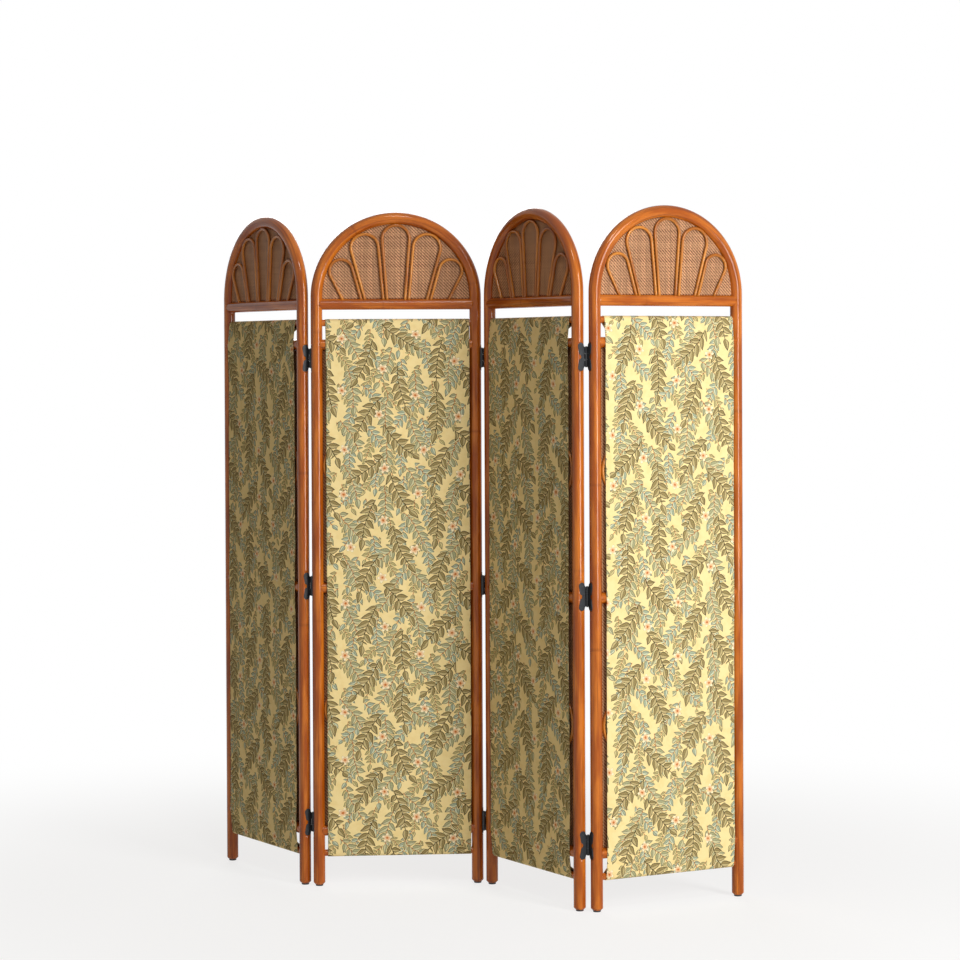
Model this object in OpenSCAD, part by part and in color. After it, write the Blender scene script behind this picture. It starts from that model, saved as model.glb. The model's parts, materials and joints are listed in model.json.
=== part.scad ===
// Folding screen of four arched rattan panels, standing in a zig-zag.
// Each panel is a bent pole frame with rungs, woven cane, a fan of loops and a cloth front.
// All sizes are in millimetres. X runs along the screen, Y to its back and Z up from the floor.

/* [Panels] */
// Height of the screen from the floor to the top of the arches
screen_h = 1780; // [1650:10:1900]
// Width of a panel between the centre lines of its two stiles
panel_w = 420; // [390:5:480]
// Diameter of the bent frame pole
pole_d = 31; // [29:1:33]
// Bevel around the lower end of each stile
foot_bevel = 5; // [1:0.5:5]

/* [Stance] */
// Turn of the first panel from the screen's long direction
turn_1 = -36; // [-50:1:-10]
// Turn of the second panel
turn_2 = 26; // [10:1:50]
// Turn of the third panel
turn_3 = -37; // [-50:1:-10]
// Turn of the fourth panel
turn_4 = 49; // [10:1:60]

/* [Rungs] */
// Diameter of the rail under the arch
rail_d = 29; // [24:1:29]
// Drop of the rail's centre line below the spring of the arch
rail_drop = 17; // [17:1:35]
// Diameter of the two thin rungs that carry the cloth
thin_d = 18; // [14:1:20]
// Diameter of the three thick rungs that carry the cane
thick_d = 28; // [24:1:29]
// Drop of the upper thin rung below the rail, between centre lines
upper_thin_drop = 49; // [45:1:70]
// Drop of the upper thick rung below the upper thin rung
upper_thick_drop = 57; // [52:1:70]
// Height of the lower thin rung's centre line above the floor
lower_thin_z = 87; // [60:1:100]
// Rise of the lower thick rung above the lower thin rung
lower_thick_rise = 59; // [52:1:85]
// Diameter of the tenons on the rail and the thick rungs
thick_tenon_d = 14; // [10:1:16]
// Diameter of the tenons on the thin rungs
thin_tenon_d = 9; // [7:1:11]
// Length of a tenon inside the stile
tenon_l = 12; // [8:1:12]

/* [Cane] */
// Thickness of the woven cane
cane_t = 3; // [2:0.5:4]
// Diameter of the beads that hold the cane's edges at the back
bead_d = 6; // [4:0.5:7]

/* [Loops] */
// Diameter of the bent rods of the fan and the hoops
rod_d = 8; // [6:0.5:9]
// Angle between neighbouring loops of the fan
fan_step = 32; // [31:0.5:33]
// Clear distance between the heads of neighbouring loops
loop_gap = 5; // [3:0.5:7]
// Clear distance between neighbouring loops at the rail
leg_gap = 2; // [1:0.5:4]
// How much smaller the heads of the two outer loops are in radius
outer_trim = 6; // [5:0.5:8]
// Height of an oval hoop between the centre lines of its rod
hoop_h = 230; // [200:5:260]
// Radius of the tight ends of an oval hoop
hoop_end_r = 70; // [50:5:80]

/* [Cloth] */
// Width of a cloth
cloth_w = 381; // [340:1:381]
// Thickness of a cloth
cloth_t = 1; // [0.5:0.1:1]
// How far each cloth has slid from the middle of its panel, by turns to the left and the right
cloth_slide = 3; // [0:0.1:3.3]
// Depth of the sleeve that takes a thin rung, from the rung's centre line
sleeve_l = 22; // [16:1:26]

/* [Hinges] */
// Distance of the pin from the stile's centre line along the panel
pin_reach = 15.7; // [15.7:0.1:18]
// Distance of the pin from the panel's middle plane, on the side that folds shut
pin_depth = 15.7; // [15.7:0.1:18]
// Drop of the upper hinge below the upper thick rung
upper_hinge_drop = 36; // [15:1:60]
// Rise of the middle hinge above the middle rung
middle_hinge_rise = 4; // [0:1:30]
// Rise of the lower hinge above the lower thick rung
lower_hinge_rise = 21; // [10:1:60]
// Depth of the flat cut in the stile for a hinge leaf
seat_cut = 1.5; // [1.5:0.1:2]
// Thickness of a hinge leaf
leaf_t = 1.2; // [0.8:0.1:1.2]
// Height of the hinge barrel
barrel_h = 50; // [46:1:60]
// Outer diameter of the knuckles
knuckle_d = 9; // [8:0.5:10]
// Diameter of the hinge pin
pin_d = 4; // [3:0.5:5]
// Diameter of the pin's end buttons
button_d = 6.5; // [6:0.5:8]
// Radius of the rounded tips of a leaf's wings
lobe_r = 8.5; // [7:0.5:9]
// Distance of a tip's centre from the pin
lobe_reach = 15.2; // [14:0.1:16]
// Height of a tip's centre above or below the middle of the hinge
lobe_rise = 27; // [24:1:30]
// Radius of the rounded inner ends of the wings, next to the waist
belly_r = 6.5; // [5:0.5:7.5]
// Distance of an inner end's centre from the pin
belly_reach = 14; // [12:0.5:15]
// Height of an inner end's centre above or below the middle of the hinge
belly_rise = 10.5; // [8:0.5:14]
// Width of a leaf at its waist, from the pin
waist_w = 14.5; // [14.5:0.5:18]
// Diameter of the screw shanks
screw_d = 3; // [2.5:0.5:3.5]
// Length of the screws under the leaf
screw_l = 10; // [6:1:10]
// Diameter of the screw heads
screw_head_d = 5.6; // [5:0.1:6]

/* [Glides] */
// Height of a glide under the stile
glide_h = 4; // [2:0.5:6]
// Diameter of a glide
glide_d = 20; // [16:1:21]
// Diameter of the peg that holds a glide in the stile
peg_d = 8; // [6:0.5:10]
// Length of that peg
peg_l = 16; // [10:1:24]

/* [Hidden] */
$fn = 96;
PANELS = 4;
PANEL_PARTS = ["pole_frame", "top_rail", "thin_rungs", "thick_rungs", "arch_cane", "panel_cane",
    "cane_beads", "fan_loops", "oval_hoops", "cloth", "glides", "hinge_screws"];
HINGE_PARTS = ["left_leaves", "right_leaves", "hinge_pins"];

// Clearance of a seated joint, of a running pin and of soft pieces
fit = 0.05;
run = 0.05;
soft = 0.3;
// Clearance between the knuckles of a hinge and around them
knuckle_gap = 0.3;
turning_room = 0.5;
// Depth and width of the slot in a screw head
slot_depth = 0.5;
slot_w = 0.8;
// Allowance by which a cut runs past the surface
past = 1;
// Spaces into which the feet of the loops divide the rail
LEG_SPACES = 7;
// Bevel under a glide
glide_bevel = 1;
// Height of a pin's end button
button_h = 1.5;
// How much nearer to the pin than a tip's centre the tip's screw sits
screw_shift = 1;
// Sides of a slim rod and the angle between two rings around a bend
ROD_SIDES = 8;
ARC_STEP = 13;

turns = [turn_1, turn_2, turn_3, turn_4];
// Side on which the faces of each joint fold together, 1 at the back and -1 at the front
fold_sides = [1, -1, 1];

pole_r = pole_d / 2;
arch_r = panel_w / 2;
spring_z = screen_h - pole_r - arch_r;
opening_w = panel_w - pole_d;
rail_z = spring_z - rail_drop;
upper_thin_z = rail_z - upper_thin_drop;
upper_thick_z = upper_thin_z - upper_thick_drop;
lower_thick_z = lower_thin_z + lower_thick_rise;
middle_z = (upper_thick_z + lower_thick_z) / 2;
thin_zs = [upper_thin_z, lower_thin_z];
thick_zs = [upper_thick_z, middle_z, lower_thick_z];
hinge_zs = [upper_thick_z - upper_hinge_drop, middle_z + middle_hinge_rise,
    lower_thick_z + lower_hinge_rise];

// The rods lie on the front of the cane and the beads on its back
rod_y = -(cane_t / 2 + rod_d / 2 + fit);
bead_y = cane_t / 2 + bead_d / 2 + fit;
rod_touch = sqrt(pow(pole_r + rod_d / 2 + 2 * fit, 2) - pow(rod_y, 2));
bead_touch = sqrt(pow(pole_r + bead_d / 2 + 2 * fit, 2) - pow(bead_y, 2));

// Distance from the panel's middle line to the centre of a rod that touches the arch or a stile
rod_reach = arch_r - rod_touch;

// The heads of the fan's loops touch the inside of the arch
fan_chord = 2 * sin(fan_step / 2);
loop_r = (rod_reach * fan_chord - rod_d - loop_gap) / (2 + fan_chord);
leg_pitch = opening_w / LEG_SPACES;
leg_half = (leg_pitch - rod_d - leg_gap) / 2;

// An oval hoop reaches from stile to stile
hoop_b = hoop_h / 2;
hoop_end_x = rod_reach - hoop_end_r;
hoop_side_r = (pow(hoop_end_x, 2) + pow(hoop_b, 2) - pow(hoop_end_r, 2)) / (2 * (hoop_b - hoop_end_r));
hoop_angle = atan2(hoop_side_r - hoop_b, hoop_end_x);

cloth_y = -(thick_d / 2 + soft);
sleeve_r = thin_d / 2 + soft;
// The tail of a sleeve is stitched a quarter of the way from the cloth's front to the rung's back
tail_y = cloth_y + (thin_d / 2 - cloth_y) / 4;

seat_x = pole_r - seat_cut;
leaf_x = pin_reach - seat_x;
bore_r = pin_d / 2 + run;
knuckle_r = knuckle_d / 2;
middle_knuckle_h = barrel_h / 3;
leaf_h = 2 * (lobe_rise + lobe_r);
// Places of a leaf's screws, outwards from the pin and up from the hinge's middle
screw_x = screw_shift - lobe_reach;
waist_screw_x = -(waist_w + knuckle_r) / 2 - screw_shift;
screw_spots = [[screw_x, lobe_rise], [waist_screw_x, 0], [screw_x, -lobe_rise]];

// A point turned by an angle about the origin
function turned(a, p) = [p.x * cos(a) - p.y * sin(a), p.x * sin(a) + p.y * cos(a)];
// Centre of a panel's left stile, counted from the first panel's
function left_stile(i) = i == 0 ? [0, 0]
    : left_stile(i - 1)
        + turned(turns[i - 1], [panel_w + pin_reach, fold_sides[i - 1] * pin_depth])
        - turned(turns[i], [-pin_reach, fold_sides[i - 1] * pin_depth]);
function right_stile(i) = left_stile(i) + turned(turns[i], [panel_w, 0]);
stiles = [for (i = [0:PANELS - 1]) each [left_stile(i), right_stile(i)]];
stile_xs = [for (p = stiles) p.x];
stile_ys = [for (p = stiles) p.y];
middle = [(min(stile_xs) + max(stile_xs)) / 2, (min(stile_ys) + max(stile_ys)) / 2];

// Points along a circle, from one angle to another
function arc_points(centre, r, from, to) = let (steps = ceil(abs(to - from) / ARC_STEP))
    [for (k = [0:steps]) let (a = from + (to - from) * k / steps) centre + r * [cos(a), sin(a)]];

// Direction of a loop's head from a foot point, and the angle off it of the line that touches the head
function head_angle(foot, centre) = atan2(centre.y - foot.y, centre.x - foot.x);
function touch_angle(foot, centre, r) = asin(r / norm(centre - foot));

// Moves its children into a panel's own frame: X along the panel from its left stile, Y to its back
module in_panel(i) {
    p = left_stile(i - 1) - middle;
    translate([p.x, p.y, 0]) rotate([0, 0, turns[i - 1]]) children();
}

// Moves its children to a hinge's pin in the frame of the panel on its left or right,
// with X towards the other panel and Y to the side that folds shut
module at_pin(j, on_left, z) {
    i = on_left ? j : j + 1;
    side = fold_sides[j - 1];
    in_panel(i) translate([on_left ? panel_w + pin_reach : -pin_reach, side * pin_depth, z])
        scale([on_left ? 1 : -1, side, 1]) children();
}

// A round bar along the panel between two places
module bar(x0, x1, z, d) {
    translate([x0, 0, z]) rotate([0, 90, 0]) cylinder(d = d, h = x1 - x0);
}

// A round rod bent along a circle that stands upright, from one angle to another
module bent_rod(centre, r, from, to, y, d) {
    translate([centre.x, y, centre.y]) rotate([90, 0, 0]) rotate([0, 0, from])
        rotate_extrude(angle = to - from) translate([r, 0]) circle(d = d);
}

// A slim rod that follows a path of points in an upright plane, as one closed solid
module swept_rod(path, y, d, closed = false) {
    n = len(path);
    last = n - 1;
    ring_of = [for (k = [0:last]) let (
        before = path[closed ? (k + n - 1) % n : max(k - 1, 0)],
        after = path[closed ? (k + 1) % n : min(k + 1, last)],
        way = atan2(after.y - before.y, after.x - before.x))
        [for (m = [0:ROD_SIDES - 1]) let (a = (m + 0.5) * 360 / ROD_SIDES)
            [path[k].x - d / 2 * cos(a) * sin(way), y + d / 2 * sin(a),
                path[k].y + d / 2 * cos(a) * cos(way)]]];
    walls = [for (k = [0:closed ? last : last - 1]) for (m = [0:ROD_SIDES - 1]) let (
        here = k * ROD_SIDES, next = (k + 1) % n * ROD_SIDES, side = (m + 1) % ROD_SIDES)
        each [[here + m, here + side, next + side], [here + m, next + side, next + m]]];
    ends = closed ? [] : [[for (m = [ROD_SIDES - 1:-1:0]) m],
        [for (m = [0:ROD_SIDES - 1]) last * ROD_SIDES + m]];
    polyhedron(points = [for (ring = ring_of) each ring], faces = concat(walls, ends));
}

// Both stiles as plain upright bars, a little larger, to cut what stands against them
module stile_space() {
    for (x = [0, panel_w]) translate([x, 0, 0]) cylinder(r = pole_r + fit, h = spring_z);
}

// A rung from stile to stile, with a tenon at each end
module rung(z, d, tenon_d) {
    inner = pole_r - tenon_l;
    difference() {
        bar(0, panel_w, z, d);
        stile_space();
    }
    bar(inner, panel_w - inner, z, tenon_d);
}

// The holes for a rung's tenons
module rung_sockets(z, tenon_d) {
    inner = pole_r - tenon_l - fit;
    bar(inner, panel_w - inner, z, tenon_d + 2 * fit);
}

// The flats and screw holes for the leaves of one stile, in the frame of its hinges
module hinge_seats(j, on_left) {
    for (z = hinge_zs) at_pin(j, on_left, z) {
        translate([-leaf_x, -pin_depth - pole_r - past, -leaf_h / 2 - turning_room])
            cube([seat_cut + past, pole_d + 2 * past, leaf_h + 2 * turning_room]);
        for (spot = screw_spots) translate([-leaf_x - screw_l - fit, spot.x, spot.y])
            rotate([0, 90, 0]) cylinder(d = screw_d + 2 * fit, h = screw_l + past);
    }
}

// The bent pole that makes both stiles and the arch
module pole_frame(i) {
    color("#a04f1e") difference() {
        in_panel(i) difference() {
            union() {
                bent_rod([arch_r, spring_z], arch_r, 0, 180, 0, pole_d);
                for (x = [0, panel_w]) translate([x, 0, glide_h]) {
                    cylinder(d1 = pole_d - 2 * foot_bevel, d2 = pole_d, h = foot_bevel);
                    translate([0, 0, foot_bevel]) cylinder(d = pole_d, h = spring_z - glide_h - foot_bevel);
                }
            }
            rung_sockets(rail_z, thick_tenon_d);
            for (z = thick_zs) rung_sockets(z, thick_tenon_d);
            for (z = thin_zs) rung_sockets(z, thin_tenon_d);
            for (x = [0, panel_w]) translate([x, 0, 0])
                cylinder(d = peg_d + 2 * fit, h = glide_h + peg_l + fit);
        }
        if (i < PANELS) hinge_seats(i, true);
        if (i > 1) hinge_seats(i - 1, false);
    }
}

// The rail that closes the arch
module top_rail(i) {
    color("#a04f1e") in_panel(i) rung(rail_z, rail_d, thick_tenon_d);
}

// The rungs that the cloth is sleeved on
module thin_rungs(i) {
    color("#9a4a1c") in_panel(i) for (z = thin_zs) rung(z, thin_d, thin_tenon_d);
}

// The rungs that hold the cane, above, between and below its two fields
module thick_rungs(i) {
    color("#a04f1e") in_panel(i) for (z = thick_zs) rung(z, thick_d, thick_tenon_d);
}

// The woven cane that fills the arch
module arch_cane(i) {
    foot = rail_z + rail_d / 2 + fit;
    r = arch_r - pole_r - fit;
    color("#7d5f4b") in_panel(i) translate([arch_r, cane_t / 2, 0]) rotate([90, 0, 0])
        linear_extrude(cane_t) {
            intersection() {
                translate([0, spring_z]) circle(r = r);
                translate([-r, spring_z]) square([2 * r, r]);
            }
            translate([-r, foot]) square([2 * r, spring_z - foot]);
        }
}

// The two fields of woven cane between the thick rungs
module panel_cane(i) {
    edge = thick_d / 2 + fit;
    side = pole_r + fit;
    color("#7d5f4b") in_panel(i) for (k = [0, 1])
        translate([side, -cane_t / 2, thick_zs[k + 1] + edge])
            cube([panel_w - 2 * side, cane_t, thick_zs[k] - thick_zs[k + 1] - 2 * edge]);
}

// The beads at the back that hold the cane's edges to the arch and the stiles
module cane_beads(i) {
    xs = [bead_touch, panel_w - bead_touch];
    color("#94603a") in_panel(i) {
        difference() {
            swept_rod(concat([[xs[0], rail_z]], arc_points([arch_r, spring_z], arch_r - xs[0], 180, 0),
                [[xs[1], rail_z]]), bead_y, bead_d);
            bar(0, panel_w, rail_z, rail_d + 2 * fit);
        }
        difference() {
            for (x = xs) translate([x, bead_y, lower_thick_z])
                cylinder(d = bead_d, h = upper_thick_z - lower_thick_z);
            for (z = thick_zs) bar(0, panel_w, z, thick_d + 2 * fit);
        }
    }
}

// One loop of the fan, with its two legs on the rail and its head under the arch
module fan_loop(k) {
    r = loop_r - (abs(k) > 1 ? outer_trim : 0);
    centre = [arch_r, spring_z] + (rod_reach - r) * [sin(k * fan_step), cos(k * fan_step)];
    left = [arch_r + k * leg_pitch - leg_half, rail_z];
    right = [arch_r + k * leg_pitch + leg_half, rail_z];
    left_way = head_angle(left, centre) + touch_angle(left, centre, r);
    right_way = head_angle(right, centre) - touch_angle(right, centre, r);
    swept_rod(concat([left], arc_points(centre, r, left_way + 90, right_way - 90), [right]), rod_y, rod_d);
}

// The fan of five loops in front of the arch's cane
module fan_loops(i) {
    color("#a8561f") in_panel(i) difference() {
        for (k = [-2:2]) fan_loop(k);
        bar(0, panel_w, rail_z, rail_d + 2 * fit);
    }
}

// An oval hoop of four arcs around the middle of the panel
module oval_hoop(z) {
    low = [arch_r, z + hoop_b - hoop_side_r];
    high = [arch_r, z - hoop_b + hoop_side_r];
    right = [arch_r + hoop_end_x, z];
    left = [arch_r - hoop_end_x, z];
    path = concat(
        arc_points(right, hoop_end_r, hoop_angle, -hoop_angle),
        arc_points(high, hoop_side_r, -hoop_angle, hoop_angle - 180),
        arc_points(left, hoop_end_r, hoop_angle - 180, -180 - hoop_angle),
        arc_points(low, hoop_side_r, 180 - hoop_angle, hoop_angle));
    // Neighbouring arcs share their end points, so each shared point is kept once
    swept_rod([for (k = [0:len(path) - 1]) if (norm(path[k] - path[(k + 1) % len(path)]) > past) path[k]],
        rod_y, rod_d, true);
}

// The hoops in front of the two cane fields, behind the cloth
module oval_hoops(i) {
    color("#a8561f") in_panel(i) for (k = [0, 1]) oval_hoop((thick_zs[k] + thick_zs[k + 1]) / 2);
}

// Section of the sleeve around a thin rung: up is 1 at the top of the cloth and -1 at its foot
module sleeve_section(up, r, tail_r) {
    hull() {
        circle(r = r);
        translate([tail_y, -up * sleeve_l]) circle(r = tail_r);
    }
}

// The cloth, sleeved on both thin rungs and drawn down in front of the thick ones
module cloth(i) {
    slide = cloth_slide * (i % 2 == 0 ? 1 : -1);
    top = upper_thin_z;
    foot = lower_thin_z;
    color("#d8c48c") in_panel(i) translate([arch_r - cloth_w / 2 + slide, 0, 0]) rotate([90, 0, 90])
        linear_extrude(cloth_w) {
            polygon([[cloth_y, upper_thick_z], [-sleeve_r, top], [-sleeve_r - cloth_t, top],
                [cloth_y - cloth_t, upper_thick_z], [cloth_y - cloth_t, lower_thick_z],
                [-sleeve_r - cloth_t, foot], [-sleeve_r, foot], [cloth_y, lower_thick_z]]);
            for (end = [[top, 1], [foot, -1]]) translate([0, end[0]]) difference() {
                sleeve_section(end[1], sleeve_r + cloth_t, 2 * cloth_t);
                sleeve_section(end[1], sleeve_r, cloth_t);
            }
        }
}

// The glides under both stiles, with their pegs
module glides(i) {
    color("#1c1a18") in_panel(i) for (x = [0, panel_w]) translate([x, 0, 0]) {
        cylinder(d1 = glide_d - 2 * glide_bevel, d2 = glide_d, h = glide_bevel);
        translate([0, 0, glide_bevel]) cylinder(d = glide_d, h = glide_h - glide_bevel);
        cylinder(d = peg_d, h = glide_h + peg_l);
    }
}

// A countersunk screw that points into the stile, with its head flush with the leaf
module hinge_screw() {
    rotate([0, 90, 0]) difference() {
        union() {
            translate([0, 0, -screw_l]) cylinder(d = screw_d, h = screw_l);
            cylinder(d1 = screw_d, d2 = screw_head_d, h = leaf_t);
        }
        translate([-screw_head_d, -slot_w / 2, leaf_t - slot_depth])
            cube([2 * screw_head_d, slot_w, slot_depth + past]);
    }
}

module stile_screws(j, on_left) {
    for (z = hinge_zs) at_pin(j, on_left, z) for (spot = screw_spots)
        translate([-leaf_x, spot.x, spot.y]) hinge_screw();
}

// All the screws that go into one panel's stiles
module hinge_screws(i) {
    color("#26282b") {
        if (i < PANELS) stile_screws(i, true);
        if (i > 1) stile_screws(i - 1, false);
    }
}

// Outline of a leaf, from the pin outwards and up from the hinge's middle
module leaf_outline(own_middle) {
    start = bore_r + turning_room;
    clear = knuckle_r + turning_room;
    difference() {
        union() {
            translate([-waist_w, -barrel_h / 2]) square([waist_w - start, barrel_h]);
            for (s = [-1, 1]) {
                hull() {
                    translate([-lobe_reach, s * lobe_rise]) circle(r = lobe_r);
                    translate([-belly_reach, s * belly_rise]) circle(r = belly_r);
                }
                polygon([[-clear, s * middle_knuckle_h], [-clear, s * barrel_h / 2],
                    [-lobe_reach + lobe_r / 2, s * (lobe_rise + lobe_r * cos(30))],
                    [-lobe_reach, s * (lobe_rise + lobe_r)], [-lobe_reach, s * middle_knuckle_h]]);
            }
        }
        if (own_middle) {
            for (s = [0, 1]) mirror([0, s]) translate([-clear, middle_knuckle_h / 2 - knuckle_gap / 2])
                square([clear, barrel_h]);
        } else {
            translate([-clear, -middle_knuckle_h / 2 - knuckle_gap / 2])
                square([clear, middle_knuckle_h + knuckle_gap]);
        }
    }
}

// A knuckle between two heights, without its bore
module knuckle(z0, z1) {
    translate([0, 0, z0]) cylinder(r = knuckle_r, h = z1 - z0);
}

// One leaf with its knuckles, on the left of its pin
module leaf(own_middle) {
    low = middle_knuckle_h / 2 - knuckle_gap / 2;
    high = middle_knuckle_h / 2 + knuckle_gap / 2;
    difference() {
        union() {
            translate([-leaf_x, 0, 0]) rotate([90, 0, 90]) linear_extrude(leaf_t) leaf_outline(own_middle);
            if (own_middle) {
                knuckle(-low, low);
            } else {
                knuckle(high, barrel_h / 2);
                knuckle(-barrel_h / 2, -high);
            }
        }
        cylinder(r = bore_r, h = barrel_h + 2 * past, center = true);
        for (spot = screw_spots) translate([-leaf_x, spot.x, spot.y]) rotate([0, 90, 0])
            cylinder(d1 = screw_d + 2 * fit, d2 = screw_head_d + 2 * fit, h = leaf_t);
    }
}

// The leaves on the right stile of the panel left of a joint
module left_leaves(j) {
    color("#26282b") for (z = hinge_zs) at_pin(j, true, z) leaf(false);
}

// The leaves on the left stile of the panel right of a joint
module right_leaves(j) {
    color("#26282b") for (z = hinge_zs) at_pin(j, false, z) leaf(true);
}

// The pins of a joint, with a button at each end
module hinge_pins(j) {
    color("#3a3c40") for (z = hinge_zs) at_pin(j, true, z) {
        cylinder(d = pin_d, h = barrel_h, center = true);
        for (s = [0, 1]) mirror([0, 0, s]) translate([0, 0, barrel_h / 2])
            cylinder(d1 = button_d, d2 = pin_d, h = button_h);
    }
}

for (i = [1:PANELS]) {
    pole_frame(i);
    top_rail(i);
    thin_rungs(i);
    thick_rungs(i);
    arch_cane(i);
    panel_cane(i);
    cane_beads(i);
    fan_loops(i);
    oval_hoops(i);
    cloth(i);
    glides(i);
    hinge_screws(i);
}
for (j = [1:PANELS - 1]) {
    left_leaves(j);
    right_leaves(j);
    hinge_pins(j);
}
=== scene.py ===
# Looks of the rattan folding screen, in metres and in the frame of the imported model.
import json
import math
from collections import namedtuple

import bpy
import numpy as np
from mathutils import Matrix, Vector


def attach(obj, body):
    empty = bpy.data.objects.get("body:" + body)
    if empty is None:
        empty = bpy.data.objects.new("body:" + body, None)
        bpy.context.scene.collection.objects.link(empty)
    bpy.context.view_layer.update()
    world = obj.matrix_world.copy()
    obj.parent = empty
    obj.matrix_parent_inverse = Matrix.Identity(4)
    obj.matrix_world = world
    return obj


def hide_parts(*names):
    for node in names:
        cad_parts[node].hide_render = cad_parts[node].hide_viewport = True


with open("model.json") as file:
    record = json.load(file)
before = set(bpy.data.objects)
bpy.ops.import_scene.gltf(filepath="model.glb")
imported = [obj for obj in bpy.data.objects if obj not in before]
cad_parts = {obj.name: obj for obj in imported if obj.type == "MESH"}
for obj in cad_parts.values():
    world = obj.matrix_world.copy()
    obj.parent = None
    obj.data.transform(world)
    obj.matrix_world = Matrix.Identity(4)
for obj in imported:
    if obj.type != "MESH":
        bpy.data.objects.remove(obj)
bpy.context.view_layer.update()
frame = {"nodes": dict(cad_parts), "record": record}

# Sizes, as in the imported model. A panel's own frame has X along the panel from the middle of its left stile,
# Y to its back and Z up. Heights of the rungs go down from the arch's spring line, or up from the floor.
PANELS = (1, 2, 3, 4)
SCREEN_H = 1.780
PANEL_W = 0.420             # between the middles of the stiles
POLE_R = 0.0155
GLIDE_H = 0.004
FOOT_BEVEL = 0.005
RAIL_R = 0.0145
THICK_R = 0.014
THIN_R = 0.009
RUNG_INSET = 0.007          # from a stile's middle to the end of a rung
RAIL_DROP = 0.017
UPPER_THIN_DROP = 0.049
UPPER_THICK_DROP = 0.057
LOWER_THIN_Z = 0.087
LOWER_THICK_RISE = 0.059
ROD_R = 0.004               # rods of the fans and hoops
ROD_Y = -0.00555
BEAD_R = 0.003
BEAD_Y = 0.00455
CANE_HALF = 0.0015          # half the cane's thickness
CANE_GAP = 0.00005          # from the cane to the wood around it
FAN_REACH = 2               # loops on either side of the middle one
FAN_STEP = math.radians(32)
LOOP_GAP = 0.005            # between the heads of two loops
LEG_GAP = 0.002             # between the feet of two loops
LEG_SPACES = 7
OUTER_TRIM = 0.006          # how much smaller the outer loops' heads are
HOOP_B = 0.115
HOOP_END_R = 0.070
CLOTH_W = 0.381
CLOTH_SLIDE = 0.003         # how far a cloth hangs to one side
CLOTH_Y = -0.0148
WRAP_R = 0.0098             # the cloth's turn round a thin rung
TAIL = 0.022                # how far its tail hangs past the rung's middle
TAIL_Y = CLOTH_Y + 0.0045
SEAT_X = 0.0140             # flat under a hinge leaf, from the stile's middle
SEAT_HALF = 0.0360
BITE = 0.001                # how far a bead's end is let into the wood
LOOP_BITE = 0.003

ARCH_R = PANEL_W / 2
SPRING_Z = SCREEN_H - POLE_R - ARCH_R
RAIL_Z = SPRING_Z - RAIL_DROP
UPPER_THIN_Z = RAIL_Z - UPPER_THIN_DROP
UPPER_THICK_Z = UPPER_THIN_Z - UPPER_THICK_DROP
LOWER_THICK_Z = LOWER_THIN_Z + LOWER_THICK_RISE
MIDDLE_Z = (UPPER_THICK_Z + LOWER_THICK_Z) / 2
THICK_ZS = (UPPER_THICK_Z, MIDDLE_Z, LOWER_THICK_Z)
HINGE_ZS = (UPPER_THICK_Z - 0.036, MIDDLE_Z + 0.004, LOWER_THICK_Z + 0.021)
ROD_REACH = ARCH_R - math.sqrt((POLE_R + ROD_R) ** 2 - ROD_Y ** 2)
BEAD_TOUCH = math.sqrt((POLE_R + BEAD_R) ** 2 - BEAD_Y ** 2)

# Fineness of the meshes: sides of the round rods, steps along them, and points of the sheets
POLE_SIDES, RUNG_SIDES, ROD_SIDES, BEAD_SIDES = 56, 40, 16, 12
POLE_STEP, RUNG_STEP, ROD_STEP, BEAD_STEP = 0.006, 0.004, 0.006, 0.01
ARCH_COLUMNS, ARCH_ROWS = 97, 40
FIELD_COLUMNS, FIELD_ROWS = 60, 90
CLOTH_COLUMNS = 121
WRAP_POINTS = 19

rng = np.random.default_rng(41)


# Node trees, written as sums
class Value:
    """An output of a node tree that can be used in sums."""

    def __init__(self, tree, out):
        self.tree, self.out = tree, out

    def _do(self, op, *others):
        node = self.tree.nodes.new("ShaderNodeMath")
        node.operation = op
        for k, v in enumerate((self,) + others):
            plug(self.tree, node.inputs[k], v)
        return Value(self.tree, node.outputs[0])

    def __add__(self, o): return self._do("ADD", o)
    def __radd__(self, o): return self._do("ADD", o)
    def __sub__(self, o): return self._do("SUBTRACT", o)
    def __rsub__(self, o): return (self * -1.0) + o
    def __mul__(self, o): return self._do("MULTIPLY", o)
    def __rmul__(self, o): return self._do("MULTIPLY", o)
    def __truediv__(self, o): return self._do("DIVIDE", o)
    def abs(self): return self._do("ABSOLUTE")
    def floor(self): return self._do("FLOOR")
    def sin(self): return self._do("SINE")
    def cos(self): return self._do("COSINE")
    def sqrt(self): return self._do("SQRT")
    def sign(self): return self._do("SIGN")
    def power(self, o): return self._do("POWER", o)
    def low(self, o): return self._do("MINIMUM", o)
    def high(self, o): return self._do("MAXIMUM", o)
    def above(self, o): return self._do("GREATER_THAN", o)
    def below(self, o): return self._do("LESS_THAN", o)
    def wrap(self, size): return self._do("WRAP", size, 0.0)
    def angle(self, o): return self._do("ARCTAN2", o)

    def ramp(self, start, end, low=0.0, high=1.0):
        """Goes smoothly from low at start to high at end."""
        node = self.tree.nodes.new("ShaderNodeMapRange")
        node.interpolation_type = "SMOOTHSTEP"
        for k, v in enumerate((self, start, end, low, high)):
            plug(self.tree, node.inputs[k], v)
        return Value(self.tree, node.outputs[0])


def plug(tree, socket, value):
    if isinstance(value, Value):
        tree.links.new(value.out, socket)
    else:
        socket.default_value = value


def mix(tree, amount, a, b):
    """Colour a where amount is 0 and b where it is 1."""
    node = tree.nodes.new("ShaderNodeMix")
    node.data_type = "RGBA"
    for name, v in (("Factor_Float", amount), ("A_Color", a), ("B_Color", b)):
        socket = next(s for s in node.inputs if s.identifier == name)
        if isinstance(v, tuple):
            v = (*v, 1.0)
        plug(tree, socket, v)
    return Value(tree, next(s for s in node.outputs if s.identifier == "Result_Color"))


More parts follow.
